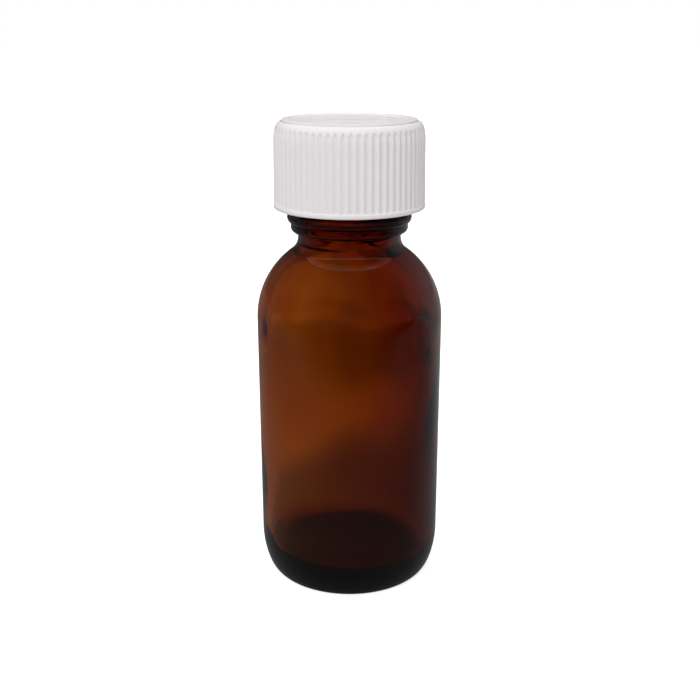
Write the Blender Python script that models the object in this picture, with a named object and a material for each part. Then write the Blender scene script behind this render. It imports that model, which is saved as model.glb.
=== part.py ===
"""Amber glass bottle with a white push-and-turn screw cap.

The Z axis is the bottle's own axis, and the bottle stands on the plane z = 0. The cap is screwed
tight, and its outer shell is at the top of its press travel. All values are in millimetres until
a mesh is made.
"""

from math import acos, cos, degrees, pi, radians, sin, sqrt

import bmesh
import bpy

MM = 0.001

# ---- bottle ---------------------------------------------------------------
BODY_RADIUS = 16.35
SHOULDER_START = 48.0      # height where the straight wall ends
SHOULDER_ARC = 14.8        # radius of the shoulder's arc
NECK_RADIUS = 8.95
NECK_FILLET = 3.0          # outside, between shoulder and neck
HEEL_WIDTH = 2.2           # how far the heel draws in
HEEL_HEIGHT = 7.0
HEEL_POWER = 1.7           # 2 would be an ellipse
BEARING_WIDTH = 1.6        # flat ring that the bottle stands on
PUSH_UP = 1.6              # height of the hollow under the base
WALL = 2.1
BASE_THICKNESS = 2.5
BORE_FILLET = 4.5          # inside, between shoulder and bore
INNER_HEEL = 2.4

# ---- neck finish ----------------------------------------------------------
NECK_STRAIGHT = 0.75       # plain neck between the fillet and the lower bead
LOWER_BEAD_REACH = 1.23    # beads stand out from the neck
LOWER_BEAD_HEIGHT = 1.75
GROOVE_REACH = 1.1         # shallow groove between the beads
UPPER_BEAD_REACH = 1.85
UPPER_BEAD_HEIGHT = 1.95
FINISH_HEIGHT = 10.0       # from the beads to the sealing lip
ROOT_STEP = 0.1            # the finish is this much slimmer than the neck
FINISH_WALL = 2.85
LIP_ROUND = 0.6
PITCH = 3.175              # eight turns to the inch
THREAD_HEIGHT = 1.05
THREAD_BASE = 2.0          # width of the ridge at its root
THREAD_TIP = 0.6           # and at its crest
THREAD_TURNS = 1.25
LIP_TO_THREAD = 2.0        # from the lip down to the ridge's upper end
THREAD_FADE = 0.1          # share of a turn over which each end runs out
THREAD_SINK = 0.25         # how far a ridge's root goes into its wall

# ---- cap ------------------------------------------------------------------
SEAT_GAP = 0.3             # between faces that touch on the real object
LINER_THICKNESS = 0.9
LINER_CLEARANCE = 0.35
INNER_PLATE = 1.1
INNER_WALL = 1.05
INNER_ROUND = 1.0          # outside corner of the inner shell's top
THREAD_CLEARANCE = 0.15    # from the bottle's crest to the inner shell's wall
BEAD_TO_SKIRT = 1.4        # from the top of the beads up to the inner shell's edge
CAP_THREAD_HEIGHT = 0.85
CAP_THREAD_BASE = 1.6
CAP_THREAD_TIP = 0.5
CAP_THREAD_TURNS = 1.3
FLANGE_REACH = 0.5
FLANGE_HEIGHT = 0.7
LINER_BEAD_REACH = 0.5     # small ring that holds the liner in
LINER_BEAD_HEIGHT = 0.5

LUG_COUNT = 8
LUG_HEIGHT = 0.8
LUG_DEGREES = 14.0
LUG_TIP_SHARE = 0.55       # width of a lug's tip, as a share of its root
LUG_LENGTH = 2.6
LUG_SINK = 0.2
PRESS_TRAVEL = 0.85
PRESSED_GAP = 0.25         # left under the lugs when the cap is pressed down

SHELL_PLATE = 1.0
SHELL_WALL = 0.82          # at the bottom of the valleys between ribs
SHELL_CLEARANCE = 0.3
RIB_COUNT = 63
RIB_DEPTH = 0.33
DRAFT = 0.15               # how much slimmer the shell is at its shoulder
BAND_HEIGHT = 0.8          # plain band under the ribs
BAND_CHAMFER = 0.25
LEDGE_RISE = 0.08          # slope of the band's top into the valleys
SNAP_GRIP = 0.4            # how far the snap ring reaches under the flange
SNAP_HEIGHT = 0.5
ROUND_WIDTH = 1.1          # the shell's shoulder, sideways and in height
ROUND_HEIGHT = 2.0
RIB_RUNOUT = 0.35          # height over which a valley fills up at its top
DISC_STEP = 0.35           # raised disc on the top
DISC_MARGIN = 0.12
RIM_WIDTH = 1.4
DISH_DEPTH = 0.2
DISH_SLOPE = 0.25

FINGER_COUNT = 4
FINGER_RING_WIDTH = 1.4
FINGER_RING_HEIGHT = 0.45
FINGER_RING_INSET = 1.0    # from the lugs in to the fingers' ring
FINGER_DEGREES = 66.0
FINGER_WIDTH = 1.0
FINGER_THICKNESS = 0.4

TURN_STEPS = 48            # flats round a turned piece

# ---- radii and heights that follow ----------------------------------------
ROOT_RADIUS = NECK_RADIUS - ROOT_STEP
BORE_RADIUS = ROOT_RADIUS - FINISH_WALL
THREAD_CREST = ROOT_RADIUS + THREAD_HEIGHT
SHOULDER_CENTRE = BODY_RADIUS - SHOULDER_ARC
CONTACT_RADIUS = BODY_RADIUS - HEEL_WIDTH
INNER_FLOOR = PUSH_UP + BASE_THICKNESS


def fillet_height(neck, fillet, shoulder):
    """Height of the centre of the fillet that joins the neck to the shoulder's arc."""
    across = neck + fillet - SHOULDER_CENTRE
    return SHOULDER_START + sqrt((shoulder + fillet) ** 2 - across**2)


LOWER_BEAD = fillet_height(NECK_RADIUS, NECK_FILLET, SHOULDER_ARC) + NECK_STRAIGHT
UPPER_BEAD = LOWER_BEAD + LOWER_BEAD_HEIGHT
FINISH = UPPER_BEAD + UPPER_BEAD_HEIGHT
LIP = FINISH + FINISH_HEIGHT

LINER_BOTTOM = LIP + SEAT_GAP
LINER_TOP = LINER_BOTTOM + LINER_THICKNESS
PLATE_BOTTOM = LINER_TOP + SEAT_GAP
PLATE_TOP = PLATE_BOTTOM + INNER_PLATE
INNER_BORE = THREAD_CREST + THREAD_CLEARANCE
INNER_RADIUS = INNER_BORE + INNER_WALL
INNER_BOTTOM = FINISH + BEAD_TO_SKIRT
FLANGE_RADIUS = INNER_RADIUS + FLANGE_REACH
LINER_RADIUS = INNER_BORE - LINER_CLEARANCE

LUG_OUTER = INNER_RADIUS - INNER_ROUND
LUG_INNER = LUG_OUTER - LUG_LENGTH
SHELL_LUG_TIP = PLATE_TOP + PRESS_TRAVEL + PRESSED_GAP
SHELL_CEILING = SHELL_LUG_TIP + LUG_HEIGHT
SHELL_TOP = SHELL_CEILING + SHELL_PLATE
SHELL_BORE = FLANGE_RADIUS + SHELL_CLEARANCE
RIB_VALLEY = SHELL_BORE + SHELL_WALL
RIB_CREST = RIB_VALLEY + RIB_DEPTH
SNAP_RADIUS = FLANGE_RADIUS - SNAP_GRIP
SNAP_TOP = INNER_BOTTOM - SEAT_GAP
SHELL_BOTTOM = SNAP_TOP - SNAP_HEIGHT
RIBS_START = SHELL_BOTTOM + BAND_HEIGHT
DISC_FOOT = SHELL_TOP - DISC_STEP
ROUND_FOOT = DISC_FOOT - ROUND_HEIGHT
SHOULDER_RADIUS = RIB_CREST - DRAFT
DISC_RADIUS = SHOULDER_RADIUS - ROUND_WIDTH - DISC_MARGIN


# ---- outlines: lists of (radius, height) ------------------------------------
def arc(centre, radius, start, end, steps):
    """Points on a circle's arc, with angles in degrees from the outward direction."""
    turns = [radians(start + (end - start) * k / steps) for k in range(steps + 1)]
    return [(centre[0] + radius * cos(t), centre[1] + radius * sin(t)) for t in turns]


def neck_to_body(neck, fillet, shoulder, steps):
    """From the neck down the fillet and round the shoulder to the straight wall."""
    height = fillet_height(neck, fillet, shoulder)
    lean = degrees(acos((neck + fillet - SHOULDER_CENTRE) / (shoulder + fillet)))
    hollow = arc((neck + fillet, height), fillet, 180, 180 + lean, steps // 2)
    return hollow + arc((SHOULDER_CENTRE, SHOULDER_START), shoulder, lean, 0, steps)[1:]


def heel():
    """From the bearing ring up and out to the straight wall."""
    points = []
    for k in range(7):
        turn = radians(90 - 15 * k)
        out = HEEL_WIDTH * max(cos(turn), 0) ** (2 / HEEL_POWER)
        down = HEEL_HEIGHT * sin(turn) ** (2 / HEEL_POWER)
        points.append((CONTACT_RADIUS + out, HEEL_HEIGHT - down))
    return points


def bead(below, crest, above, start, height, steps):
    """A rounded ring on the neck, which leaves from one radius and returns to another."""
    points = []
    for k in range(1, steps):
        turn = pi * k / steps
        side = below if turn < pi / 2 else above
        points.append((side + (crest - side) * sin(turn), start + height * (1 - cos(turn)) / 2))
    return points


def bottle_outline():
    """From the middle of the base, up the outside, over the lip and down the inside."""
    bearing = CONTACT_RADIUS - BEARING_WIDTH
    groove = NECK_RADIUS + GROOVE_REACH
    base = [(0, PUSH_UP), (bearing / 2, PUSH_UP * 0.85), (bearing * 0.85, PUSH_UP * 0.35), (bearing, 0)]
    outside = heel() + neck_to_body(NECK_RADIUS, NECK_FILLET, SHOULDER_ARC, 8)[::-1]
    beads = (
        [(NECK_RADIUS, LOWER_BEAD)]
        + bead(NECK_RADIUS, NECK_RADIUS + LOWER_BEAD_REACH, groove, LOWER_BEAD, LOWER_BEAD_HEIGHT, 6)
        + [(groove, UPPER_BEAD)]
        + bead(groove, NECK_RADIUS + UPPER_BEAD_REACH, ROOT_RADIUS, UPPER_BEAD, UPPER_BEAD_HEIGHT, 6)
        + [(ROOT_RADIUS, FINISH)]
    )
    lip = arc((ROOT_RADIUS - LIP_ROUND, LIP - LIP_ROUND), LIP_ROUND, 0, 90, 3)
    mouth = arc((BORE_RADIUS + LIP_ROUND, LIP - LIP_ROUND), LIP_ROUND, 90, 180, 3)
    inside = neck_to_body(BORE_RADIUS, BORE_FILLET, SHOULDER_ARC - WALL, 6)
    wall = BODY_RADIUS - WALL
    floor = arc((wall - INNER_HEEL, INNER_FLOOR + INNER_HEEL), INNER_HEEL, 0, -90, 4)
    return base + outside + beads + lip + mouth + inside + floor + [(0, INNER_FLOOR)]


def inner_cap_outline():
    """From the middle of the plate's underside, down the bore and up the outside."""
    bead_radius = INNER_BORE - LINER_BEAD_REACH
    bead_top = LINER_BOTTOM - SEAT_GAP / 2
    bead_bottom = bead_top - LINER_BEAD_HEIGHT
    bore = [
        (0, PLATE_BOTTOM),
        (INNER_BORE, PLATE_BOTTOM),
        (INNER_BORE, bead_top),
        (bead_radius, (bead_top + bead_bottom) / 2),
        (INNER_BORE, bead_bottom),
        (INNER_BORE, INNER_BOTTOM),
    ]
    flange = [
        (FLANGE_RADIUS, INNER_BOTTOM),
        (FLANGE_RADIUS, INNER_BOTTOM + FLANGE_HEIGHT),
        (INNER_RADIUS, INNER_BOTTOM + FLANGE_HEIGHT + FLANGE_REACH),
    ]
    corner = arc((INNER_RADIUS - INNER_ROUND, PLATE_TOP - INNER_ROUND), INNER_ROUND, 0, 90, 3)
    return bore + flange + corner + [(0, PLATE_TOP)]


def shell_cavity_outline():
    """The space inside the outer shell, which is cut out of it."""
    below = SHELL_BOTTOM - SNAP_HEIGHT
    return [
        (0, below),
        (SNAP_RADIUS + SNAP_HEIGHT, below),
        (SNAP_RADIUS, SHELL_BOTTOM + SNAP_HEIGHT / 2),
        (SNAP_RADIUS, SNAP_TOP - SNAP_HEIGHT / 5),
        (SHELL_BORE, SNAP_TOP),
        (SHELL_BORE, SHELL_CEILING - SHELL_PLATE),
        (SHELL_BORE - SHELL_PLATE, SHELL_CEILING),
        (0, SHELL_CEILING),
    ]


def shell_levels():
    """Rings of the outer shell from its bottom up: (crest radius, valley radius, height)."""
    low = [
        (RIB_CREST - BAND_CHAMFER, 0, SHELL_BOTTOM),
        (RIB_CREST, 0, SHELL_BOTTOM + BAND_CHAMFER),
        (RIB_CREST, 0, RIBS_START),
        (RIB_CREST, RIB_DEPTH, RIBS_START + LEDGE_RISE),
        (SHOULDER_RADIUS, RIB_DEPTH, ROUND_FOOT - RIB_RUNOUT),
        (SHOULDER_RADIUS, 0, ROUND_FOOT),
    ]
    for turn in (radians(30), radians(60), radians(90)):
        inward = ROUND_WIDTH * (1 - cos(turn))
        low.append((SHOULDER_RADIUS - inward, 0, ROUND_FOOT + ROUND_HEIGHT * sin(turn)))
    rim_inner = DISC_RADIUS - RIM_WIDTH
    top = [
        (DISC_RADIUS, 0, DISC_FOOT),
        (DISC_RADIUS, 0, SHELL_TOP - DISC_MARGIN),
        (DISC_RADIUS - DISC_MARGIN, 0, SHELL_TOP),
        (rim_inner, 0, SHELL_TOP),
        (rim_inner - DISH_SLOPE, 0, SHELL_TOP - DISH_DEPTH),
    ]
    return [(crest, crest - depth, height) for crest, depth, height in low + top]


# ---- meshes -----------------------------------------------------------------
def finish_mesh(name, bm):
    """Turn a bmesh given in millimetres into an object, with smooth sides."""
    bmesh.ops.recalc_face_normals(bm, faces=bm.faces)
    bmesh.ops.scale(bm, vec=(MM, MM, MM), verts=bm.verts)
    mesh = bpy.data.meshes.new(name)
    bm.to_mesh(mesh)
    bm.free()
    mesh.shade_smooth()
    mesh.set_sharp_from_angle(angle=radians(35))
    piece = bpy.data.objects.new(name, mesh)
    bpy.context.scene.collection.objects.link(piece)
    return piece


def turned(name, outline):
    """A solid turned from an outline that starts or ends on the axis, or closes on itself."""
    bm = bmesh.new()
    verts = [bm.verts.new((r, 0, z)) for r, z in outline]
    edges = [bm.edges.new(pair) for pair in zip(verts, verts[1:])]
    if outline[0][0] > 0:
        edges.append(bm.edges.new((verts[-1], verts[0])))
    bmesh.ops.spin(
        bm, geom=verts + edges, cent=(0, 0, 0), axis=(0, 0, 1), angle=2 * pi, steps=TURN_STEPS
    )
    bmesh.ops.remove_doubles(bm, verts=bm.verts, dist=0.01)
    return finish_mesh(name, bm)


def ridge(name, wall, height, base, tip, top, turns):
    """A thread on a wall: a tapered strip along a right-hand helix that ends at height top.

    A positive height stands out from the wall, and a negative one stands into the bore.
    """
    out = 1 if height > 0 else -1
    count = round(turns * TURN_STEPS)
    bm = bmesh.new()
    sections = []
    for k in range(count + 1):
        angle = 2 * pi * (k - count) / TURN_STEPS
        level = top + PITCH * (k - count) / TURN_STEPS
        fade = min(1, min(k, count - k) / (THREAD_FADE * TURN_STEPS))
        foot = wall - out * THREAD_SINK
        crest = wall + height * fade - out * (1 - fade) * THREAD_SINK / 2
        corners = [
            (foot, level - base / 2),
            (crest, level - tip / 2),
            (crest, level + tip / 2),
            (foot, level + base / 2),
        ]
        sections.append([bm.verts.new((r * cos(angle), r * sin(angle), z)) for r, z in corners])
    for one, two in zip(sections, sections[1:]):
        for k in range(4):
            bm.faces.new((one[k], one[k - 1], two[k - 1], two[k]))
    bm.faces.new(sections[0])
    bm.faces.new(sections[-1][::-1])
    return finish_mesh(name, bm)


def lugs(name, root, tip, phase):
    """Drive lugs in a ring: each is a block that narrows from its root to its tip."""
    bm = bmesh.new()
    for k in range(LUG_COUNT):
        middle = radians(phase) + 2 * pi * k / LUG_COUNT
        half = radians(LUG_DEGREES / 2)
        low = [
            bm.verts.new((r * cos(middle + a), r * sin(middle + a), root))
            for r, a in ((LUG_INNER, -half), (LUG_OUTER, -half), (LUG_OUTER, half), (LUG_INNER, half))
        ]
        face = bm.faces.new(low)
        block = bmesh.ops.extrude_face_region(bm, geom=[face])["geom"]
        for vert in (v for v in block if isinstance(v, bmesh.types.BMVert)):
            side = 1 if vert.co.y * cos(middle) > vert.co.x * sin(middle) else -1
            radius = sqrt(vert.co.x**2 + vert.co.y**2)
            angle = middle + side * half * LUG_TIP_SHARE
            vert.co = (radius * cos(angle), radius * sin(angle), tip)
    return finish_mesh(name, bm)


def strip(name, radius, start, degrees_swept, width, thickness, high, low, steps):
    """A flat finger that curls round the axis as it slopes from one height to another."""
    bm = bmesh.new()
    sections = []
    for k in range(steps + 1):
        angle = radians(start + degrees_swept * k / steps)
        level = high + (low - high) * k / steps
        corners = [
            (radius + side * width / 2, level + rise * thickness / 2)
            for side, rise in ((-1, -1), (1, -1), (1, 1), (-1, 1))
        ]
        sections.append([bm.verts.new((r * cos(angle), r * sin(angle), z)) for r, z in corners])
    for one, two in zip(sections, sections[1:]):
        for k in range(4):
            bm.faces.new((one[k], one[k - 1], two[k - 1], two[k]))
    bm.faces.new(sections[0])
    bm.faces.new(sections[-1][::-1])
    return finish_mesh(name, bm)


def ribbed_blank(name):
    """The outer shell before it is hollowed: rings of alternate crests and valleys, bridged."""
    bm = bmesh.new()
    loops = []
    for crest, valley, height in shell_levels():
        ring = []
        for k in range(2 * RIB_COUNT):
            radius = valley if k % 2 else crest
            angle = pi * k / RIB_COUNT
            ring.append(bm.verts.new((radius * cos(angle), radius * sin(angle), height)))
        loops.append(ring)
    for low, high in zip(loops, loops[1:]):
        for k in range(2 * RIB_COUNT):
            bm.faces.new((low[k - 1], low[k], high[k], high[k - 1]))
    bm.faces.new(loops[0][::-1])
    bm.faces.new(loops[-1])
    return finish_mesh(name, bm)


def combine(piece, tool, operation):
    """Join a tool to a piece, or cut it away. The tool stays as a hidden guide."""
    change = piece.modifiers.new(tool.name, "BOOLEAN")
    change.operation = operation
    change.solver = "EXACT"
    change.object = tool
    tool.hide_render = True
    tool.display_type = "WIRE"


def paint(piece, name, colour, roughness, transmission=0.0, ior=1.5):
    """Give a piece its own material."""
    material = bpy.data.materials.new(name)
    material.use_nodes = True
    shader = material.node_tree.nodes["Principled BSDF"]
    shader.inputs["Base Color"].default_value = (*colour, 1)
    shader.inputs["Roughness"].default_value = roughness
    shader.inputs["Transmission Weight"].default_value = transmission
    shader.inputs["IOR"].default_value = ior
    piece.data.materials.append(material)


# ---- pieces -----------------------------------------------------------------
def make_bottle():
    """Moulded glass: body, shoulder, neck with two beads, and the threaded finish."""
    bottle = turned("glass_bottle", bottle_outline())
    thread = ridge(
        "bottle_thread", ROOT_RADIUS, THREAD_HEIGHT, THREAD_BASE, THREAD_TIP,
        LIP - LIP_TO_THREAD, THREAD_TURNS,
    )
    combine(bottle, thread, "UNION")
    paint(bottle, "amber_glass", (0.16, 0.035, 0.004), 0.05, 0.9, 1.52)


def make_liner():
    """Foam sealing disc, which lies on the lip inside the inner shell."""
    outline = [(0, LINER_BOTTOM), (LINER_RADIUS, LINER_BOTTOM), (LINER_RADIUS, LINER_TOP), (0, LINER_TOP)]
    paint(turned("liner", outline), "foam_liner", (0.82, 0.82, 0.8), 0.7)


def thread_offset():
    """How far the cap's ridge runs below the bottle's, with a seat gap between the flanks."""
    cap_crest = INNER_BORE - CAP_THREAD_HEIGHT
    reach = []
    for radius in (cap_crest, THREAD_CREST):
        bottle_share = (radius - ROOT_RADIUS) / THREAD_HEIGHT
        cap_share = (INNER_BORE - radius) / CAP_THREAD_HEIGHT
        bottle_width = THREAD_BASE + (THREAD_TIP - THREAD_BASE) * bottle_share
        cap_width = CAP_THREAD_BASE + (CAP_THREAD_TIP - CAP_THREAD_BASE) * cap_share
        reach.append((bottle_width + cap_width) / 2)
    return max(reach) + SEAT_GAP


def make_inner_cap():
    """Threaded inner shell, with a flange for the snap ring and drive lugs on its top."""
    cap = turned("inner_cap", inner_cap_outline())
    thread = ridge(
        "cap_thread", INNER_BORE, -CAP_THREAD_HEIGHT, CAP_THREAD_BASE, CAP_THREAD_TIP,
        LIP - LIP_TO_THREAD - thread_offset(), CAP_THREAD_TURNS,
    )
    combine(cap, thread, "UNION")
    combine(cap, lugs("inner_lugs", PLATE_TOP - LUG_SINK, PLATE_TOP + LUG_HEIGHT, 0), "UNION")
    paint(cap, "inner_cap_plastic", (0.78, 0.79, 0.78), 0.45)


def make_outer_cap():
    """Ribbed outer shell with a raised disc on top, drive lugs and a snap ring inside."""
    shell = ribbed_blank("outer_cap")
    combine(shell, turned("shell_cavity", shell_cavity_outline()), "DIFFERENCE")
    half_pitch = 180 / LUG_COUNT
    combine(shell, lugs("shell_lugs", SHELL_CEILING + LUG_SINK, SHELL_LUG_TIP, half_pitch), "UNION")
    paint(shell, "white_cap_plastic", (0.8, 0.79, 0.79), 0.4)


def make_spring_fingers():
    """A ring with sloping fingers, which hold the outer shell up off the inner one."""
    outer = LUG_INNER - FINGER_RING_INSET
    inner = outer - FINGER_RING_WIDTH
    top = SHELL_CEILING - SEAT_GAP
    bottom = top - FINGER_RING_HEIGHT
    fingers = turned("spring_fingers", [(inner, bottom), (outer, bottom), (outer, top), (inner, top)])
    for k in range(FINGER_COUNT):
        finger = strip(
            f"finger_{k + 1}", (inner + outer) / 2, 360 * k / FINGER_COUNT, FINGER_DEGREES,
            FINGER_WIDTH, FINGER_THICKNESS, bottom + FINGER_THICKNESS / 3,
            PLATE_TOP + SEAT_GAP + FINGER_THICKNESS / 2, 8,
        )
        combine(fingers, finger, "UNION")
    paint(fingers, "spring_plastic", (0.8, 0.8, 0.8), 0.4)


for leftover in list(bpy.data.objects):
    bpy.data.objects.remove(leftover)

make_bottle()
make_liner()
make_inner_cap()
make_spring_fingers()
make_outer_cap()
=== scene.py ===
from math import acos, atan2, cos, degrees, exp, floor, hypot, pi, radians, sin, sqrt

import bpy
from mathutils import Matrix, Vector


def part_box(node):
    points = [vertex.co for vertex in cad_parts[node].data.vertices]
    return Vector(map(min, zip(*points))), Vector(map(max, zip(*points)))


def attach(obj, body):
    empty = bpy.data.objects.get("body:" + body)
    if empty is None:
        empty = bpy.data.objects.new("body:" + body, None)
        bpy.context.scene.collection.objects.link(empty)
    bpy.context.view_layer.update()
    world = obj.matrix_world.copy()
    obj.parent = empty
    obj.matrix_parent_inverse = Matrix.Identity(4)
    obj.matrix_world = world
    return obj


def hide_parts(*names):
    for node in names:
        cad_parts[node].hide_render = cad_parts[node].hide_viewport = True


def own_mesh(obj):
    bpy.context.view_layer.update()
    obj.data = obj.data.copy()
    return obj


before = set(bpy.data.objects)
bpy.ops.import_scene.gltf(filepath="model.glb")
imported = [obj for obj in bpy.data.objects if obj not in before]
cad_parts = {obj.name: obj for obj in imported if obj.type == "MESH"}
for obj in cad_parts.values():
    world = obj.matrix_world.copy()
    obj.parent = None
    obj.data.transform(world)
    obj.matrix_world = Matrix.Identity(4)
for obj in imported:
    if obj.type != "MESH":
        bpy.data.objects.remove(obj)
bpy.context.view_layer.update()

MM = 0.001
WELD = 1e-6                # distance under which two points are one, in metres

# ---- places read from the frame, in millimetres ------------------------------


def corners(node):
    """Lowest and highest corner of a node's box, in millimetres."""
    return [[value / MM for value in corner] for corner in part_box(node)]


BOTTLE_LOW, BOTTLE_HIGH = corners("glass_bottle")
SHELL_LOW, SHELL_HIGH = corners("outer_cap")
INNER_LOW, INNER_HIGH = corners("inner_cap")
LINER_LOW, LINER_HIGH = corners("liner")
FINGERS_LOW, FINGERS_HIGH = corners("spring_fingers")

BODY_RADIUS = BOTTLE_HIGH[0]
LIP = BOTTLE_HIGH[2]
CREST_RADIUS = SHELL_HIGH[0]
SHELL_TOP = SHELL_HIGH[2]
SHELL_BOTTOM = SHELL_LOW[2]
LINER_BOTTOM = LINER_LOW[2]
LINER_TOP = LINER_HIGH[2]
LINER_RADIUS = LINER_HIGH[0]
INNER_BOTTOM = INNER_LOW[2]
FLANGE_RADIUS = INNER_HIGH[0]

# ---- bottle, in millimetres --------------------------------------------------
SHOULDER_START = 48.0
SHOULDER_ARC = 14.8
SHOULDER_CENTRE = BODY_RADIUS - SHOULDER_ARC
NECK_RADIUS = 8.95
NECK_FILLET = 3.0
HEEL_WIDTH = 2.2
HEEL_HEIGHT = 7.0
HEEL_POWER = 1.7
BEARING_WIDTH = 1.6
PUSH_UP = 1.6
WALL = 2.1
BASE_THICKNESS = 2.5
BORE_RADIUS = 6.0
BORE_FILLET = 4.5
INNER_HEEL = 2.4
NECK_STRAIGHT = 0.75
BEAD_REACH = (1.23, 1.85)
BEAD_HEIGHT = (1.75, 1.95)
GROOVE_REACH = 1.1
ROOT_RADIUS = 8.85
LIP_ROUND = 0.6
PITCH = 3.175
THREAD_HEIGHT = 1.05
THREAD_BASE = 2.0
THREAD_TIP = 0.6
THREAD_TURNS = 1.25
THREAD_RUNOUT = 0.1        # turns over which a thread's ends fade
THREAD_SLACK = 0.02
LIP_TO_THREAD = 2.0

# The inner wall as it was blown. Waves are (height, how many round the wall, climb or phase).
WALL_WAVES = ((0.10, 3, 7), (0.06, 5, -4))
DRAG_WAVES = ((0.10, 4, 1.3), (0.08, 9, 0.4), (0.05, 14, 0))
DRAG_LEVEL = SHOULDER_START + 2
DRAG_LENGTH = 6
RING_LEVEL = SHOULDER_START - 2
RING_WAVES = ((1.3, 3, 0.6), (0.7, 7, 2))
RING_HEIGHT = 0.18         # glass settles into a low, wavy ring under the shoulder
RING_WIDTH = 1.6
THIN_SIDE = 0.70           # how much thinner the blown wall is on its thin side
THIN_ANGLE = 180.0
FLOOR_FADE = 4             # lengths over which the waves die out at the floor and the lip
LIP_FADE = 14
SEAM_HEIGHT = 0.05
SEAM_WIDTH = 0.35
SEAM_ANGLE = 14.0          # the parting line stands a little off the X axis

# ---- cap, in millimetres ------------------------------------------------------
RIB_COUNT = 63
RIB_DEPTH = 0.33
DRAFT = 0.17
SHELL_BORE = 11.9
SHELL_CEILING = 81.4
SNAP_RADIUS = 11.2
SNAP_TOP = 68.0
BAND_HEIGHT = 0.8
STEP_GROOVE = 0.20
RIB_TOP = 81.15
RIB_END = 0.7              # length over which a groove between ribs closes at its top
RIB_LEDGE = 0.10
ROUND_WIDTH = 1.2
ROUND_HEIGHT = 2.95
DISC_STEP = 0.35
DISC_MARGIN = 0.12
DISC_INSET = 0.08
SHELL_EDGE = 0.3           # rounding of the shell's bottom edge
CEILING_ROUND = 1.0
RIM_WIDTH = 1.4
DISH_DEPTH = 0.2
DISH_SLOPE = 0.35

# Marks on the disc: plain rings, and arrows whose shaft and tip are placed in degrees.
RING_MARKS = (3.6, 8.7)
RING_MARK_RISE = 0.09
RING_MARK_HALF = 0.28
RING_MARK_SLOPE = 0.1
ARROW_RADIUS = 6.2
ARROW_RISE = 0.1
ARROW_HALF = 0.42
ARROW_SLOPE = 0.12
ARROW_SHAFT = (15, 60)
ARROW_TIP = 76
ARROW_HEAD_HALF = 1.15

LINER_RIB = 0.12           # rings pressed into the liner's face
CAP_THREAD_HEIGHT = 0.85
CAP_THREAD_BASE = 1.6
CAP_THREAD_TIP = 0.5
CAP_THREAD_TURNS = 1.3
THREAD_OFFSET = 1.317      # how far the cap's ridge runs below the bottle's
INNER_BORE = ROOT_RADIUS + THREAD_HEIGHT + 0.15
INNER_RADIUS = INNER_BORE + 1.05
INNER_ROUND = 1.0
FLANGE_HEIGHT = 0.7
LINER_BEAD_REACH = 0.5
LINER_BEAD_HEIGHT = 0.5
SEAT_GAP = 0.3
LUG_COUNT = 8
LUG_HEIGHT = 0.8
LUG_DEGREES = 14.0
LUG_TIP_SHARE = 0.55
LUG_OUTER = INNER_RADIUS - INNER_ROUND
LUG_INNER = LUG_OUTER - 2.6
LUG_SLOPE = 0.08           # draft of a lug's ends
PLATE_TOP = INNER_HIGH[2] - LUG_HEIGHT

FINGER_COUNT = 4
FINGER_DEGREES = 66.0
FINGER_WIDTH = 1.0
FINGER_THICKNESS = 0.4
FINGER_RING = (FINGERS_HIGH[0] - 1.4, FINGERS_HIGH[0])
FINGER_RING_HEIGHT = 0.45
FINGER_STEPS = 28
FINGER_TIP = (0.93, 0.07)  # where along a finger its tip starts to narrow, and over what share
FINGER_TIP_LEAST = 0.12

GLASS_SIDES = 192
PLASTIC_SIDES = 240
RING_SIDES = 120
RIB_SIDES = 8              # points across one rib


# ---- surface detail, in millimetres ---------------------------------------------
GLASS_WAVE = 6             # spacing and height of the slow waves in blown glass
GLASS_WAVE_RISE = 0.05
GLASS_TINT = (0.80, 0.505, 0.0, 1)
GLASS_DENSITY = 1500.0     # absorption per metre of glass
SHADE_PATCH = 4            # patches of slightly different shade in moulded plastic
SPARK = 0.12               # spacing and height of a spark-eroded mould's texture
SPARK_RISE = 0.01
ROUGHNESS_SPREAD = 0.04
FOAM_CELL = 0.3
FOAM_PIT = 0.03


# ---- small helpers ------------------------------------------------------------
def srgb(code):
    """Linear colour of an sRGB hex value."""
    parts = [int(code[k : k + 2], 16) / 255 for k in (1, 3, 5)]
    return tuple(c / 12.92 if c <= 0.04045 else ((c + 0.055) / 1.055) ** 2.4 for c in parts) + (1.0,)


def add_node(tree, kind, links=None, **settings):
    """Add a node, set its properties and plain inputs, and link the sockets given for it."""
    node = tree.nodes.new(kind)
    for name, value in settings.items():
        setattr(node, name, value)
    for name, value in (links or {}).items():
        if isinstance(value, bpy.types.NodeSocket):
            tree.links.new(value, node.inputs[name])
        else:
            node.inputs[name].default_value = value
    return node


def edit_mode():
    bpy.ops.object.mode_set(mode="EDIT")


def object_mode():
    bpy.ops.object.mode_set(mode="OBJECT")


def take(piece):
    """Make a piece the only selected object, and the active one."""
    bpy.ops.object.select_all(action="DESELECT")
    piece.select_set(True)
    bpy.context.view_layer.objects.active = piece


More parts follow.
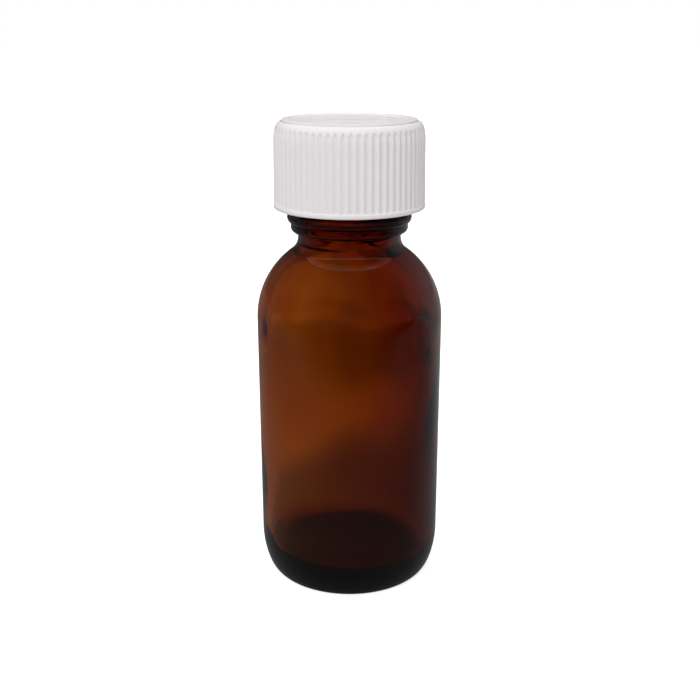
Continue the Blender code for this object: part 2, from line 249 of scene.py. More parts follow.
def turned(name, outline, sides, closed=False):
    """Model a turned piece: a loop laid along its outline, opened at the axis, is screwed round.

    The outline goes from the axis out, round and back to the axis, as (radius, height) in
    millimetres. That of a ring never meets the axis, and stays closed.
    """
    bpy.ops.object.select_all(action="DESELECT")
    bpy.ops.mesh.primitive_circle_add(vertices=len(outline), radius=BODY_RADIUS * MM)
    piece = bpy.context.active_object
    piece.name = piece.data.name = name
    for vert, (radius, height) in zip(piece.data.vertices, outline):
        vert.co = (radius * MM, 0, height * MM)
    if not closed:
        ends = {0, len(outline) - 1}
        edit_mode()
        bpy.ops.mesh.select_mode(type="EDGE")
        bpy.ops.mesh.select_all(action="DESELECT")
        object_mode()
        for edge in piece.data.edges:
            edge.select = set(edge.vertices) == ends
        edit_mode()
        bpy.ops.mesh.delete(type="EDGE")
        object_mode()
    take(piece)
    bpy.ops.object.modifier_add(type="SCREW")
    turning = piece.modifiers[-1]
    turning.axis = "Z"
    turning.angle = 2 * pi
    turning.steps = turning.render_steps = sides
    turning.use_merge_vertices = True
    turning.merge_threshold = WELD
    bpy.ops.object.modifier_apply(modifier=turning.name)
    edit_mode()
    bpy.ops.mesh.select_all(action="SELECT")
    bpy.ops.mesh.remove_doubles(threshold=WELD)
    bpy.ops.mesh.normals_make_consistent(inside=False)
    object_mode()
    return piece


def ramp(value, width):
    """A share that goes from 0 to 1 as a value goes from nothing to a width."""
    return min(1, max(0, value / width))


def smooth(piece, angle):
    take(piece)
    bpy.ops.object.shade_smooth_by_angle(angle=radians(angle))


def move_radially(piece, rule):
    """Move each vertex in or out by what a rule gives for its radius, angle and height."""
    for vert in piece.data.vertices:
        x, y, z = vert.co / MM
        radius = hypot(x, y)
        if radius < 0.5:
            continue
        grown = 1 + rule(radius, atan2(y, x), z) / radius
        vert.co.x *= grown
        vert.co.y *= grown


# ---- outlines -------------------------------------------------------------------
def arc(centre, radius, start, end, steps):
    turns = [radians(start + (end - start) * k / steps) for k in range(steps + 1)]
    return [(centre[0] + radius * cos(t), centre[1] + radius * sin(t)) for t in turns]


def run(low, high, steps):
    """Evenly spaced points from one outline point to another, without the first."""
    return [
        (low[0] + (high[0] - low[0]) * k / steps, low[1] + (high[1] - low[1]) * k / steps)
        for k in range(1, steps + 1)
    ]


def fillet_height(neck, fillet, shoulder):
    across = neck + fillet - SHOULDER_CENTRE
    return SHOULDER_START + sqrt((shoulder + fillet) ** 2 - across**2)


def neck_to_body(neck, fillet, shoulder, steps):
    height = fillet_height(neck, fillet, shoulder)
    lean = degrees(acos((neck + fillet - SHOULDER_CENTRE) / (shoulder + fillet)))
    hollow = arc((neck + fillet, height), fillet, 180, 180 + lean, steps // 2)
    return hollow + arc((SHOULDER_CENTRE, SHOULDER_START), shoulder, lean, 0, steps)[1:]


def bead(below, crest, above, start, height, steps):
    points = []
    for k in range(1, steps):
        turn = pi * k / steps
        side = below if turn < pi / 2 else above
        points.append((side + (crest - side) * sin(turn), start + height * (1 - cos(turn)) / 2))
    return points


LOWER_BEAD = fillet_height(NECK_RADIUS, NECK_FILLET, SHOULDER_ARC) + NECK_STRAIGHT
UPPER_BEAD = LOWER_BEAD + BEAD_HEIGHT[0]
FINISH = UPPER_BEAD + BEAD_HEIGHT[1]
CONTACT_RADIUS = BODY_RADIUS - HEEL_WIDTH


def heel(steps):
    points = []
    for k in range(steps + 1):
        turn = pi / 2 * (1 - k / steps)
        out = HEEL_WIDTH * max(cos(turn), 0) ** (2 / HEEL_POWER)
        down = HEEL_HEIGHT * sin(turn) ** (2 / HEEL_POWER)
        points.append((CONTACT_RADIUS + out, HEEL_HEIGHT - down))
    return points


def bottle_outline():
    """From the middle of the base up the outside, over the lip and down the inside."""
    bearing = CONTACT_RADIUS - BEARING_WIDTH
    groove = NECK_RADIUS + GROOVE_REACH
    push_up = [
        (bearing * sin(t), PUSH_UP * cos(t) ** 1.3) for t in (pi / 2 * k / 12 for k in range(12))
    ] + [(bearing, 0)]
    foot = run((bearing, 0), (CONTACT_RADIUS, 0), 3)[:-1]
    shoulder = neck_to_body(NECK_RADIUS, NECK_FILLET, SHOULDER_ARC, 36)[::-1]
    side = run((BODY_RADIUS, HEEL_HEIGHT), (BODY_RADIUS, SHOULDER_START), 24)[:-1]
    beads = (
        [(NECK_RADIUS, LOWER_BEAD)]
        + bead(NECK_RADIUS, NECK_RADIUS + BEAD_REACH[0], groove, LOWER_BEAD, BEAD_HEIGHT[0], 14)
        + [(groove, UPPER_BEAD)]
        + bead(groove, NECK_RADIUS + BEAD_REACH[1], ROOT_RADIUS, UPPER_BEAD, BEAD_HEIGHT[1], 14)
        + [(ROOT_RADIUS, FINISH)]
    )
    finish = run((ROOT_RADIUS, FINISH), (ROOT_RADIUS, LIP - LIP_ROUND), 56)[:-1]
    lip = arc((ROOT_RADIUS - LIP_ROUND, LIP - LIP_ROUND), LIP_ROUND, 0, 90, 6)
    mouth = arc((BORE_RADIUS + LIP_ROUND, LIP - LIP_ROUND), LIP_ROUND, 90, 180, 6)
    inner_top = fillet_height(BORE_RADIUS, BORE_FILLET, SHOULDER_ARC - WALL)
    bore = run((BORE_RADIUS, LIP - LIP_ROUND), (BORE_RADIUS, inner_top), 10)[:-1]
    inside = neck_to_body(BORE_RADIUS, BORE_FILLET, SHOULDER_ARC - WALL, 36)
    wall = BODY_RADIUS - WALL
    inner_floor = PUSH_UP + BASE_THICKNESS
    inner_side = run((wall, SHOULDER_START), (wall, inner_floor + INNER_HEEL), 30)
    corner = arc((wall - INNER_HEEL, inner_floor + INNER_HEEL), INNER_HEEL, 0, -90, 12)[1:]
    across = run(corner[-1], (0, inner_floor), 12)
    return (
        push_up + foot + heel(18) + side + shoulder + beads + finish + lip + mouth
        + bore + inside + inner_side + corner + across
    )


def helix_offset(angle, height, top, turns):
    """Height above a right-hand thread's centre line, or None past its ends, and its fade."""
    rise = angle / (2 * pi) * PITCH
    wraps = floor((height - top - rise) / PITCH + 0.5)
    centre = top + rise + wraps * PITCH
    along = (top - centre) / PITCH
    if not -THREAD_SLACK <= along <= turns + THREAD_SLACK:
        return None, 0
    return height - centre, ramp(min(along, turns - along), THREAD_RUNOUT)


def thread_rule(top, turns, height, base, tip):
    """How far a thread stands out at a place: a rounded trapezoid along the helix."""

    def stand(angle, level):
        away, fade = helix_offset(angle % (2 * pi) - 2 * pi, level, top, turns)
        if away is None:
            return 0
        share = ramp(base / 2 - abs(away), (base - tip) / 2)
        return height * fade * share * share * (3 - 2 * share)

    return stand


# ---- pieces ---------------------------------------------------------------------
def model_bottle():
    """Blown glass body: uneven inside, two beads, threaded finish, parting lines and push-up."""
    bottle = turned("amber_bottle", bottle_outline(), GLASS_SIDES)
    thread = thread_rule(LIP - LIP_TO_THREAD, THREAD_TURNS, THREAD_HEIGHT, THREAD_BASE, THREAD_TIP)
    outer_limit = ROOT_RADIUS - 0.2
    inner_floor = PUSH_UP + BASE_THICKNESS

    def shape(radius, angle, level):
        if level > FINISH + 0.05 and radius > outer_limit:
            return thread(angle, level)
        if inner_floor < level < LIP - LIP_ROUND and radius < inner_radius_limit(level):
            above_floor = (level - inner_floor) / FLOOR_FADE
            fade = min(1, above_floor, (LIP - LIP_ROUND - level) / LIP_FADE)
            waves = sum(rise * sin(n * angle + level / climb) for rise, n, climb in WALL_WAVES)
            drag = sum(rise * sin(n * angle + phase) for rise, n, phase in DRAG_WAVES)
            waves += drag * exp(-(((level - DRAG_LEVEL) / DRAG_LENGTH) ** 2))
            ring = RING_LEVEL + sum(rise * sin(n * angle + phase) for rise, n, phase in RING_WAVES)
            waves -= RING_HEIGHT * exp(-(((level - ring) / RING_WIDTH) ** 2))
            return fade * (waves + THIN_SIDE * cos(angle - radians(THIN_ANGLE)))
        if HEEL_HEIGHT / 2 < level < LOWER_BEAD:
            lean = (angle - radians(SEAM_ANGLE)) % pi
            away = min(lean, pi - lean) * radius
            return SEAM_HEIGHT * exp(-((away / (SEAM_WIDTH / 2)) ** 2))
        return 0

    move_radially(bottle, shape)
    smooth(bottle, 50)
    return bottle


def inner_radius_limit(level):
    """Radius between the two faces of the wall at a height."""
    if level <= SHOULDER_START:
        return BODY_RADIUS - WALL / 2
    if level >= fillet_height(NECK_RADIUS, NECK_FILLET, SHOULDER_ARC):
        return NECK_RADIUS - 0.6
    up = min(level - SHOULDER_START, SHOULDER_ARC - WALL / 2 - 0.5)
    return SHOULDER_CENTRE + sqrt((SHOULDER_ARC - WALL / 2) ** 2 - up**2)


def shell_outline():
    """Outer shell: from the middle of its ceiling down the inside and up the outside."""
    rim_inner = CREST_RADIUS - DRAFT - ROUND_WIDTH - DISC_MARGIN - RIM_WIDTH
    disc = rim_inner + RIM_WIDTH
    shoulder_radius = CREST_RADIUS - DRAFT
    foot = SHELL_TOP - DISC_STEP - ROUND_HEIGHT
    ribs_start = SHELL_BOTTOM + BAND_HEIGHT
    corner = SHELL_CEILING - CEILING_ROUND
    inside = (
        [(0, SHELL_CEILING)]
        + run((0, SHELL_CEILING), (LUG_INNER - 0.3, SHELL_CEILING), 4)
        + run((LUG_INNER - 0.3, SHELL_CEILING), (LUG_OUTER + 0.3, SHELL_CEILING), 22)
        + run((LUG_OUTER + 0.3, SHELL_CEILING), (SHELL_BORE - CEILING_ROUND, SHELL_CEILING), 2)
        + arc((SHELL_BORE - CEILING_ROUND, corner), CEILING_ROUND, 90, 0, 6)[1:]
        + run((SHELL_BORE, corner), (SHELL_BORE, SNAP_TOP), 8)
        + [(SHELL_BORE - 0.4, SNAP_TOP - 0.02), (SNAP_RADIUS, SNAP_TOP - 0.12)]
        + [(SNAP_RADIUS, SHELL_BOTTOM + 0.2), (SNAP_RADIUS + 0.2, SHELL_BOTTOM)]
    )
    band = (
        [(CREST_RADIUS - SHELL_EDGE, SHELL_BOTTOM)]
        + arc((CREST_RADIUS - SHELL_EDGE, SHELL_BOTTOM + SHELL_EDGE), SHELL_EDGE, -90, 0, 5)[1:]
        + run((CREST_RADIUS, SHELL_BOTTOM + SHELL_EDGE), (CREST_RADIUS, ribs_start - 0.06), 2)
        + [(CREST_RADIUS - 0.02, ribs_start - 0.02), (CREST_RADIUS - 0.04, ribs_start)]
    )
    ribs = [
        (CREST_RADIUS - 0.04, ribs_start + RIB_LEDGE * share) for share in (0.35, 0.7, 1.0)
    ]
    ribs += run(ribs[-1], (shoulder_radius, foot), 30)
    crown = [
        (shoulder_radius - ROUND_WIDTH * (1 - cos(t)), foot + ROUND_HEIGHT * sin(t))
        for t in (pi / 2 * k / 26 for k in range(1, 27))
    ]
    ledge = SHELL_TOP - DISC_STEP
    step = (
        [(disc + 0.10, ledge - 0.03), (disc + 0.06, ledge - STEP_GROOVE)]
        + [(disc - 0.05, ledge - STEP_GROOVE - 0.02), (disc - DISC_INSET, ledge - 0.05)]
        + [(disc - DISC_INSET, SHELL_TOP - DISC_MARGIN)]
        + arc((disc - DISC_INSET - DISC_MARGIN, SHELL_TOP - DISC_MARGIN), DISC_MARGIN, 0, 90, 4)[1:]
    )
    rim = run((disc - DISC_INSET - DISC_MARGIN, SHELL_TOP), (rim_inner, SHELL_TOP), 3)
    dish = [
        (rim_inner - DISH_SLOPE * k / 5, SHELL_TOP - DISH_DEPTH * (1 - cos(pi * k / 5)) / 2)
        for k in range(1, 6)
    ]
    panel_height = SHELL_TOP - DISH_DEPTH
    panel = run((rim_inner - DISH_SLOPE, panel_height), (0, panel_height), 44)
    return inside + band + ribs + crown + step + rim + dish + panel


def model_outer_shell():
    """Ribbed shell: round-crested ribs that run out on the shoulder, and a dished disc."""
    shell = turned("ribbed_shell", shell_outline(), RIB_COUNT * RIB_SIDES)
    foot = SHELL_TOP - DISC_STEP - ROUND_HEIGHT
    start = SHELL_BOTTOM + BAND_HEIGHT
    panel_height = SHELL_TOP - DISH_DEPTH

    def ribs(radius, angle, level):
        if radius < SHELL_BORE + 0.1 or not start - 0.01 < level < SHELL_TOP - DISC_STEP - 0.01:
            return 0
        if level < foot and radius < SHELL_BORE + 0.6:
            return 0
        phase = abs((angle * RIB_COUNT / (2 * pi)) % 1 - 0.5) * 2
        low = ramp(level - start, RIB_LEDGE)
        high = sqrt(ramp(RIB_TOP - level, RIB_END))
        across = min(1, phase / max(high, 0.01))
        valley = (1 - across) ** 2 * (1 + 2 * across)
        return -RIB_DEPTH * valley * low * high

    move_radially(shell, ribs)
    for vert in shell.data.vertices:
        x, y, z = vert.co / MM
        if z > panel_height - 0.01:
            vert.co.z += relief(hypot(x, y), atan2(y, x)) * MM
        elif abs(z - SHELL_CEILING) < 0.01:
            vert.co.z -= lug(hypot(x, y), degrees(atan2(y, x)) - 180 / LUG_COUNT) * MM
    smooth(shell, 50)
    return shell


def relief(radius, angle):
    """Raised marks on the disc: two plain rings and four curved arrows between them."""
    rise = 0.0
    for ring in RING_MARKS:
        stroke = ramp(RING_MARK_HALF - abs(radius - ring), RING_MARK_SLOPE)
        rise = max(rise, RING_MARK_RISE * stroke)
    quarter = degrees(angle) % 90
    off_line = abs(radius - ARROW_RADIUS)
    if ARROW_SHAFT[0] <= quarter <= ARROW_SHAFT[1]:
        rise = max(rise, ARROW_RISE * ramp(ARROW_HALF - off_line, ARROW_SLOPE))
    if ARROW_SHAFT[1] <= quarter <= ARROW_TIP:
        half = ARROW_HEAD_HALF * (ARROW_TIP - quarter) / (ARROW_TIP - ARROW_SHAFT[1])
        rise = max(rise, ARROW_RISE * ramp(half - off_line, ARROW_SLOPE))
    return rise


def lug(radius, turn):
    """How far a drive lug stands up at a place: a block with drafted ends and sides."""
    pitch = 360 / LUG_COUNT
    away = abs((turn + pitch / 2) % pitch - pitch / 2)
    half = LUG_DEGREES / 2
    side = ramp(half - away, half * (1 - LUG_TIP_SHARE))
    ends = min(ramp(radius - LUG_INNER, LUG_SLOPE), ramp(LUG_OUTER - radius, LUG_SLOPE))
    return LUG_HEIGHT * min(side, ends)


def inner_shell_outline():
    """From the middle of the plate's underside, down the threaded bore and up the outside."""
    plate = LINER_TOP + SEAT_GAP
    bead_top = LINER_BOTTOM - SEAT_GAP / 2
    bead_low = bead_top - LINER_BEAD_HEIGHT
    bead_steps = [
        (INNER_BORE - LINER_BEAD_REACH * sin(pi * k / 8), bead_top - LINER_BEAD_HEIGHT * k / 8)
        for k in range(9)
    ]
    flange_top = INNER_BOTTOM + FLANGE_HEIGHT
    cone = FLANGE_RADIUS - INNER_RADIUS
    return (
        [(0, plate)]
        + run((0, plate), (INNER_BORE - 0.3, plate), 8)
        + arc((INNER_BORE - 0.3, plate - 0.3), 0.3, 90, 0, 4)[1:]
        + bead_steps
        + run((INNER_BORE, bead_low), (INNER_BORE, INNER_BOTTOM + 0.25), 62)
        + [(INNER_BORE + 0.1, INNER_BOTTOM + 0.05), (INNER_BORE + 0.25, INNER_BOTTOM)]
        + [(FLANGE_RADIUS - 0.15, INNER_BOTTOM), (FLANGE_RADIUS - 0.04, INNER_BOTTOM + 0.04)]
        + [(FLANGE_RADIUS, INNER_BOTTOM + 0.15), (FLANGE_RADIUS, flange_top - 0.1)]
        + [(FLANGE_RADIUS - 0.05, flange_top), (INNER_RADIUS + 0.05, flange_top + cone - 0.05)]
        + run((INNER_RADIUS, flange_top + cone), (INNER_RADIUS, PLATE_TOP - INNER_ROUND), 8)
        + arc((LUG_OUTER, PLATE_TOP - INNER_ROUND), INNER_ROUND, 0, 90, 10)[1:]
        + run((LUG_OUTER, PLATE_TOP), (LUG_INNER - 0.1, PLATE_TOP), 22)
        + run((LUG_INNER - 0.1, PLATE_TOP), (0, PLATE_TOP), 6)
    )


def model_inner_shell():
    """Threaded inner shell: plain wall, liner bead, flange, and lugs on its top."""
    shell = turned("inner_shell_moulding", inner_shell_outline(), PLASTIC_SIDES)
    top = LIP - LIP_TO_THREAD - THREAD_OFFSET
    thread = thread_rule(
        top, CAP_THREAD_TURNS, CAP_THREAD_HEIGHT, CAP_THREAD_BASE, CAP_THREAD_TIP
    )
    bead_low = LINER_BOTTOM - SEAT_GAP / 2 - LINER_BEAD_HEIGHT

    def shape(radius, angle, level):
        if radius < INNER_BORE + 0.02 and INNER_BOTTOM + 0.2 < level < bead_low:
            return -thread(angle, level)
        return 0

    move_radially(shell, shape)
    for vert in shell.data.vertices:
        x, y, z = vert.co / MM
        if abs(z - PLATE_TOP) < 0.001:
            vert.co.z += lug(hypot(x, y), degrees(atan2(y, x))) * MM
    smooth(shell, 40)
    return shell


def model_liner():
    """Sealing disc of white foam with a thin skin: rings pressed in its face, a soft edge."""
    edge = 0.12
    rings = [
        (radius, LINER_BOTTOM + LINER_RIB * (1 - cos(2 * pi * radius / 1.2)) / 4)
        for radius in (0.15 * k for k in range(61))
    ]
    outline = (
        rings
        + arc((LINER_RADIUS - edge, LINER_BOTTOM + edge), edge, -90, 0, 5)
        + arc((LINER_RADIUS - edge, LINER_TOP - edge), edge, 0, 90, 5)
        + run((LINER_RADIUS - edge, LINER_TOP), (0, LINER_TOP), 10)
    )
    liner = turned("foam_seal", outline, RING_SIDES)
    smooth(liner, 50)
    return liner


def model_spring_fingers():
    """Ring with fingers joined to it, each a strip that slopes down and narrows at its tip."""
    inner, outer = FINGER_RING
    top = FINGERS_HIGH[2]
    bottom = top - FINGER_RING_HEIGHT
    edge = 0.1
    rounds = (
        ((inner + edge, bottom + edge), 180), ((outer - edge, bottom + edge), 270),
        ((outer - edge, top - edge), 0), ((inner + edge, top - edge), 90),
    )
    loop = [point for centre, start in rounds for point in arc(centre, edge, start, start + 90, 3)]
    spring = turned("finger_spring", loop, RING_SIDES, closed=True)
    for k in range(FINGER_COUNT):
        finger = model_finger(360 * k / FINGER_COUNT, bottom + FINGER_THICKNESS / 3)
        bpy.ops.object.select_all(action="DESELECT")
        finger.select_set(True)
        spring.select_set(True)
        bpy.context.view_layer.objects.active = spring
        bpy.ops.object.join()
    smooth(spring, 40)
    return spring


def model_finger(start, high):
    """One finger: a grid is laid along its arc, narrowed at its tip and given its thickness."""
    middle = (FINGER_RING[0] + FINGER_RING[1]) / 2
    low = FINGERS_LOW[2] + FINGER_THICKNESS / 2
    bpy.ops.object.select_all(action="DESELECT")
    bpy.ops.mesh.primitive_grid_add(x_subdivisions=FINGER_STEPS, y_subdivisions=4, size=MM)
    finger = bpy.context.active_object
    finger.name = finger.data.name = "finger"
    for vert in finger.data.vertices:
        along = vert.co.x / MM + 0.5
        side = vert.co.y / MM * 2
        angle = radians(start + FINGER_DEGREES * along)
        past = max(0, (along - FINGER_TIP[0]) / FINGER_TIP[1])
        reach = FINGER_WIDTH / 2 * sqrt(max(FINGER_TIP_LEAST, 1 - past**2))
        radius = middle + side * reach
        drop = along * along * (3 - 2 * along)
        vert.co = (
            radius * cos(angle) * MM,
            radius * sin(angle) * MM,
            (high + (low - high) * drop) * MM,
        )
    bpy.ops.object.modifier_add(type="SOLIDIFY")
    wall = finger.modifiers[-1]
    wall.thickness = FINGER_THICKNESS * MM
    wall.offset = 0
    bpy.ops.object.modifier_apply(modifier=wall.name)
    edit_mode()
    bpy.ops.mesh.select_all(action="SELECT")
    bpy.ops.mesh.normals_make_consistent(inside=False)
    object_mode()
    return finger


# ---- materials --------------------------------------------------------------------
def new_material(name):
    material = bpy.data.materials.new(name)
    material.use_nodes = True
    tree = material.node_tree
    shader = tree.nodes["Principled BSDF"]
    return material, tree, shader


def amber_glass():
    """Soda-lime glass coloured by iron and sulphur. Its colour comes from depth: thin walls glow
    orange-brown, and the thick base and the edges seen along the wall go nearly black."""
    material, tree, shader = new_material("amber_soda_lime_glass")
    place = add_node(tree, "ShaderNodeTexCoord").outputs["Object"]
    shader.inputs["Base Color"].default_value = srgb("#FFFFFF")
    shader.inputs["Roughness"].default_value = 0.015
    shader.inputs["IOR"].default_value = 1.52
    shader.inputs["Transmission Weight"].default_value = 1.0
    waves = add_node(
        tree, "ShaderNodeTexNoise", {"Vector": place, "Scale": 1 / (GLASS_WAVE * MM), "Detail": 1.0}
    )
    bump = add_node(
        tree, "ShaderNodeBump",
        {"Height": waves.outputs["Fac"], "Strength": 0.25, "Distance": GLASS_WAVE_RISE * MM},
    )
    tree.links.new(bump.outputs["Normal"], shader.inputs["Normal"])
    depth = add_node(
        tree, "ShaderNodeVolumeAbsorption", {"Color": GLASS_TINT, "Density": GLASS_DENSITY}
    )
    out = tree.nodes["Material Output"]
    tree.links.new(depth.outputs["Volume"], out.inputs["Volume"])
    return material


def polypropylene(name, colour, roughness):
    """Injection-moulded polypropylene: slightly translucent, satin from a fine spark texture."""
    material, tree, shader = new_material(name)
    place = add_node(tree, "ShaderNodeTexCoord").outputs["Object"]
    cloud = add_node(
        tree, "ShaderNodeTexNoise", {"Vector": place, "Scale": 1 / (SHADE_PATCH * MM), "Detail": 3.0}
    )
    tint = add_node(
        tree, "ShaderNodeMix", {"Factor": cloud.outputs["Fac"]}, data_type="RGBA"
    )
    tint.inputs["A"].default_value = srgb(colour[0])
    tint.inputs["B"].default_value = srgb(colour[1])
    tree.links.new(tint.outputs["Result"], shader.inputs["Base Color"])
    spark = add_node(
        tree, "ShaderNodeTexNoise", {"Vector": place, "Scale": 1 / (SPARK * MM), "Detail": 2.0}
    )
    bump = add_node(
        tree, "ShaderNodeBump",
        {"Height": spark.outputs["Fac"], "Strength": 0.25, "Distance": SPARK_RISE * MM},
    )
    tree.links.new(bump.outputs["Normal"], shader.inputs["Normal"])
    low, high = roughness - ROUGHNESS_SPREAD, roughness + ROUGHNESS_SPREAD
    rough = add_node(
        tree, "ShaderNodeMapRange", {"Value": cloud.outputs["Fac"], "To Min": low, "To Max": high}
    )
    tree.links.new(rough.outputs["Result"], shader.inputs["Roughness"])
    shader.inputs["IOR"].default_value = 1.49
    shader.inputs["Subsurface Weight"].default_value = 0.15
    shader.inputs["Subsurface Radius"].default_value = (1.0, 0.95, 0.9)
    shader.inputs["Subsurface Scale"].default_value = 0.6 * MM
    return material


def foam():
    """Closed-cell polyethylene foam: matt white, finely pitted by its cells."""
    material, tree, shader = new_material("polyethylene_foam")
    place = add_node(tree, "ShaderNodeTexCoord").outputs["Object"]
    cells = add_node(
        tree, "ShaderNodeTexVoronoi", {"Vector": place, "Scale": 1 / (FOAM_CELL * MM)}
    )
    # Each cell is painted a little darker towards its middle, where the bump sinks its pit: painted
    # shade in the pits.
    shade = add_node(
        tree, "ShaderNodeMix", {"Factor": cells.outputs["Distance"]}, data_type="RGBA"
    )
    shade.inputs["A"].default_value = srgb("#E4E4E0")
    shade.inputs["B"].default_value = srgb("#F0F0EC")
    tree.links.new(shade.outputs["Result"], shader.inputs["Base Color"])
    bump = add_node(
        tree, "ShaderNodeBump",
        {"Height": cells.outputs["Distance"], "Strength": 0.4, "Distance": FOAM_PIT * MM},
    )
    tree.links.new(bump.outputs["Normal"], shader.inputs["Normal"])
    shader.inputs["Roughness"].default_value = 0.75
    return material


def finish_with(piece, material, body, slot, *nodes):
    piece.data.materials.clear()
    piece.data.materials.append(material)
    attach(piece, body)
    if nodes:
        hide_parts(*nodes)


# ---- studio -------------------------------------------------------------------------
CAMERA_PLACE = (0.1, -173.86, 97.57)
CAMERA_PITCH = 17.88
CAMERA_LENS = 52.08


def place_camera():
    data = bpy.data.cameras.new("studio_camera")
    data.lens = CAMERA_LENS
    data.sensor_width = 36.0
    data.clip_start = 10 * MM
    data.clip_end = 50.0
    camera = bpy.data.objects.new("studio_camera", data)
    camera.location = [value * MM for value in CAMERA_PLACE]
    camera.rotation_euler = (radians(90 - CAMERA_PITCH), 0, 0)
    bpy.context.scene.collection.objects.link(camera)
    bpy.context.scene.camera = camera


def softbox(name, turn, tilt, distance, side, power):
    """A square softbox aimed at the cap: turned from the front, tilted up, at a distance in mm."""
    data = bpy.data.lights.new(name, "AREA")
    data.shape = "SQUARE"
    data.size = side * MM
    data.energy = power
    lamp = bpy.data.objects.new(name, data)
    bpy.context.scene.collection.objects.link(lamp)
    across = distance * cos(radians(tilt))
    lamp.location = (
        across * sin(radians(turn)) * MM,
        -across * cos(radians(turn)) * MM,
        (SHELL_BOTTOM + distance * sin(radians(tilt))) * MM,
    )
    lamp.rotation_euler = (radians(90 - tilt), 0, radians(turn))
    lamp.visible_glossy = False
    lamp.visible_transmission = False
    return lamp


def glow(tree, way, direction, power, strength):
    """Brightness of one broad soft light, strongest along a direction."""
    length = sqrt(sum(value**2 for value in direction))
    aim = tuple(value / length for value in direction)
    facing = add_node(tree, "ShaderNodeVectorMath", {0: way, 1: aim}, operation="DOT_PRODUCT")
    level = facing.outputs["Value"]
    for operation, value in (("MAXIMUM", 0.0), ("POWER", power), ("MULTIPLY", strength)):
        level = add_node(tree, "ShaderNodeMath", {0: level, 1: value}, operation=operation).outputs[0]
    return level


# Broad soft lights as (direction, narrowness, strength): those that light the cap and the floor,
# those that the glass mirrors, and those seen through it. The levels were set one by one.
LIT_ROOM = 0.35
LIT_GLOWS = (
    ((0.0, 0.0, 1.0), 2.0, 1.22),
    ((-0.3, -0.9, 0.3), 3.0, 0.05),
)
MIRRORED_ROOM = 0.02
SEEN_ROOM = 0.45
SEEN_DIP = (((0.0, 0.95, 0.3), 14.0, -0.38),)    # darker low behind, as the base mirrors it
MIRRORED_GLOWS = (
    ((-0.8, 0.6, 0.1), 4.0, 0.07),
    ((0.9, 0.5, 0.1), 5.0, 0.28),
)


def glows(tree, way, room, lights):
    level = room
    for direction, power, strength in lights:
        light = glow(tree, way, direction, power, strength)
        level = add_node(tree, "ShaderNodeMath", {0: level, 1: light}, operation="ADD").outputs[0]
    return level


def make_world():
    world = bpy.data.worlds.new("studio")
    bpy.context.scene.world = world
    world.use_nodes = True
    tree = world.node_tree
    tree.nodes.clear()
    way = add_node(tree, "ShaderNodeTexCoord").outputs["Generated"]
    path = add_node(tree, "ShaderNodeLightPath").outputs
    lit = glows(tree, way, LIT_ROOM, LIT_GLOWS)
    mirrored = glows(tree, way, MIRRORED_ROOM, MIRRORED_GLOWS)
    level = add_node(
        tree, "ShaderNodeMix", {"Factor": path["Is Glossy Ray"], "A": lit, "B": mirrored}
    ).outputs["Result"]
    seen = glows(tree, way, SEEN_ROOM, SEEN_DIP)
    level = add_node(
        tree, "ShaderNodeMix", {"Factor": path["Is Transmission Ray"], "A": level, "B": seen}
    ).outputs["Result"]
    studio = add_node(tree, "ShaderNodeBackground", {"Strength": level})
    studio.inputs["Color"].default_value = (1, 1, 1, 1)
    white = add_node(tree, "ShaderNodeBackground", {"Color": (1, 1, 1, 1), "Strength": 1.0})
    mix = add_node(
        tree, "ShaderNodeMixShader",
        {0: path["Is Camera Ray"], 1: studio.outputs[0], 2: white.outputs[0]},
    )
    add_node(tree, "ShaderNodeOutputWorld", {"Surface": mix.outputs[0]})


FLOOR_SIZE = 8.0           # in metres
FLOOR_GAP = 0.02           # how far the paper lies below the bottle, in millimetres
FLOOR_WHITE = 0.60
FLOOR_LIFT = 0.72          # added for the camera, so that the paper stays nearly white in shade

# The paper glows with painted light and shade: levels given off as emission, not cast by the lamps.
# Light on the paper as (level, soft edges). An edge is (measure, start, end) in millimetres: the
# level is nothing before its start and whole past its end. The measures are across and along the
# paper from the bottle's axis, beyond the edge of a slanting shade, and away from the axis. The
# levels were set for the camera's view.
# Where the edge of the painted shadow lies on the paper, and which way it runs.
PAINTED_SHADE_POINT = (3.6, 57.0)
PAINTED_SHADE_WAY = (0.90, 0.43)
LIFTED_PAPER = ((FLOOR_LIFT,), (1 - FLOOR_LIFT, ("away", 80, 400)))
# Painted light and shade that rays through the glass see on the paper: a painted shadow of the bottle,
# a band of painted light past its edge, and brighter and dimmer stretches round it.
PAINTED_LIGHT_AND_SHADE_SEEN = (
    (0.20,),                                               # in the shade
    (0.29, ("beyond", -14, 12)),                           # past its edge
    (-0.17, ("along", 70, 120)),                           # behind
    (0.18, ("along", 140, 190)),                           # far behind
    (0.06, ("across", 8, -30)),                            # on the left
    (0.12, ("across", 40, 80)),                            # on the right
    (-0.10, ("across", -10, 25), ("along", 85, 115)),      # a dimmer stretch behind
    (0.23, ("across", -18, -26), ("beyond", 12, -14)),     # beside the shade
)
# Painted shadow on the paper under the bottle, seen through the glass.
PAINTED_SHADOW_UNDER_BOTTLE = 0.02                                          # under the bottle
PAINTED_SHADOW_RADII = (16.5, 13)
# Painted reflections: the levels of the paper that rays mirrored by the glass see.
PAINTED_PAPER_REFLECTIONS = (
    (0.10, ("along", -140, -60)),                          # in front
    (0.06, ("along", 20, 120)),                            # behind
    (0.15, ("across", 0, 30), ("along", -20, 100)),        # behind on the right
    (0.07, ("away", 130, 30), ("along", -30, 10)),         # close by
)


def patches(tree, measures, paper):
    """Sum of patches of painted light on the paper, each faded by its soft edges."""
    total = 0.0
    for level, *edges in paper:
        for measure, start, end in edges:
            share = add_node(
                tree, "ShaderNodeMapRange",
                {"Value": measures[measure], "From Min": start, "From Max": end},
                interpolation_type="SMOOTHSTEP",
            ).outputs["Result"]
            faded = add_node(tree, "ShaderNodeMath", {0: level, 1: share}, operation="MULTIPLY")
            level = faded.outputs[0]
        total = add_node(tree, "ShaderNodeMath", {0: total, 1: level}, operation="ADD").outputs[0]
    return total


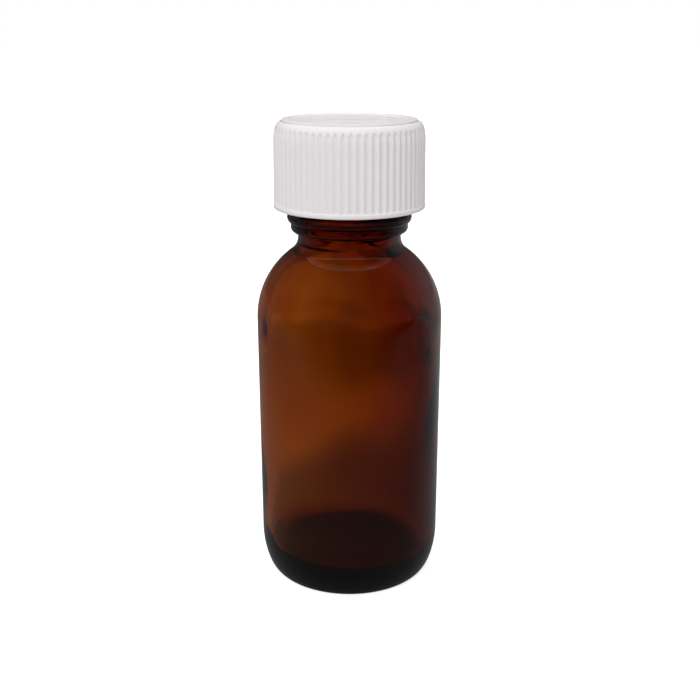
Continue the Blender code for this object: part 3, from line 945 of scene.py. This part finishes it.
def make_floor():
    bpy.ops.object.select_all(action="DESELECT")
    bpy.ops.mesh.primitive_plane_add(size=FLOOR_SIZE, location=(0, 0, -FLOOR_GAP * MM))
    ground = bpy.context.active_object
    ground.name = "studio_floor"
    bpy.ops.object.transform_apply(location=True)
    material, tree, shader = new_material("pale_paper")
    place = add_node(tree, "ShaderNodeTexCoord").outputs["Object"]
    scaled = add_node(tree, "ShaderNodeVectorMath", {0: place, "Scale": 1 / MM}, operation="SCALE")
    spot = scaled.outputs[0]
    parts = add_node(tree, "ShaderNodeSeparateXYZ", {"Vector": spot}).outputs
    from_edge = add_node(
        tree, "ShaderNodeVectorMath", {0: spot, 1: (*PAINTED_SHADE_POINT, 0)}, operation="SUBTRACT"
    )
    beyond = add_node(
        tree, "ShaderNodeVectorMath",
        {0: from_edge.outputs[0], 1: (-PAINTED_SHADE_WAY[1], PAINTED_SHADE_WAY[0], 0)}, operation="DOT_PRODUCT",
    )
    away = add_node(tree, "ShaderNodeVectorMath", {0: spot}, operation="LENGTH")
    measures = {
        "across": parts["X"], "along": parts["Y"],
        "beyond": beyond.outputs["Value"], "away": away.outputs["Value"],
    }

    path = add_node(tree, "ShaderNodeLightPath").outputs
    through = path["Is Transmission Ray"]
    mirrored = add_node(
        tree, "ShaderNodeMath", {0: path["Is Reflection Ray"], 1: path["Is Glossy Ray"]},
        operation="MULTIPLY",
    ).outputs[0]
    # Rays through or mirrored in the glass see no lit colour on the paper, only its painted glow.
    tone = 1.0
    for operation, value in (("SUBTRACT", through), ("SUBTRACT", mirrored), ("MULTIPLY", FLOOR_WHITE)):
        tone = add_node(tree, "ShaderNodeMath", {0: tone, 1: value}, operation=operation).outputs[0]
    grey = add_node(tree, "ShaderNodeCombineColor", {"Red": tone, "Green": tone, "Blue": tone})
    tree.links.new(grey.outputs["Color"], shader.inputs["Base Color"])
    shader.inputs["Roughness"].default_value = 0.9
    shader.inputs["Specular IOR Level"].default_value = 0.0

    # Mask of the painted shadow under the bottle.
    under = patches(tree, measures, ((1.0, ("away", *PAINTED_SHADOW_RADII)),))
    seen = add_node(
        tree, "ShaderNodeMix",
        {"Factor": under, "A": patches(tree, measures, PAINTED_LIGHT_AND_SHADE_SEEN), "B": PAINTED_SHADOW_UNDER_BOTTLE},
    ).outputs["Result"]
    # The paper glows: a lift for camera rays, painted light and shade for rays through the glass, and
    # painted reflections for rays mirrored by it.
    light = 0.0
    for level, rays in (
        (patches(tree, measures, LIFTED_PAPER), path["Is Camera Ray"]),
        (seen, through),
        (patches(tree, measures, PAINTED_PAPER_REFLECTIONS), mirrored),
    ):
        part = add_node(tree, "ShaderNodeMath", {0: level, 1: rays}, operation="MULTIPLY").outputs[0]
        light = add_node(tree, "ShaderNodeMath", {0: light, 1: part}, operation="ADD").outputs[0]
    tree.links.new(light, shader.inputs["Emission Strength"])
    shader.inputs["Emission Color"].default_value = (1, 1, 1, 1)
    ground.data.materials.append(material)


# ---- scene --------------------------------------------------------------------------
finish_with(model_bottle(), amber_glass(), "bottle", "amber_glass", "glass_bottle")
white = polypropylene("white_polypropylene", ("#EAE6E7", "#E6E1E2"), 0.42)
natural = polypropylene("natural_polypropylene", ("#E6E5E0", "#DFDED9"), 0.38)
finish_with(model_outer_shell(), white, "outer_shell", "white_cap_plastic", "outer_cap")
finish_with(model_inner_shell(), natural, "inner_shell", "inner_cap_plastic", "inner_cap")
finish_with(model_liner(), foam(), "wad", "foam_liner", "liner")
springs = model_spring_fingers()
finish_with(springs, natural, "fingers", "spring_plastic", "spring_fingers")
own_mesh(springs)

make_floor()
make_world()
place_camera()
softbox("key", turn=-22, tilt=44, distance=600, side=260, power=1.32)
bpy.context.scene.view_settings.view_transform = "Standard"
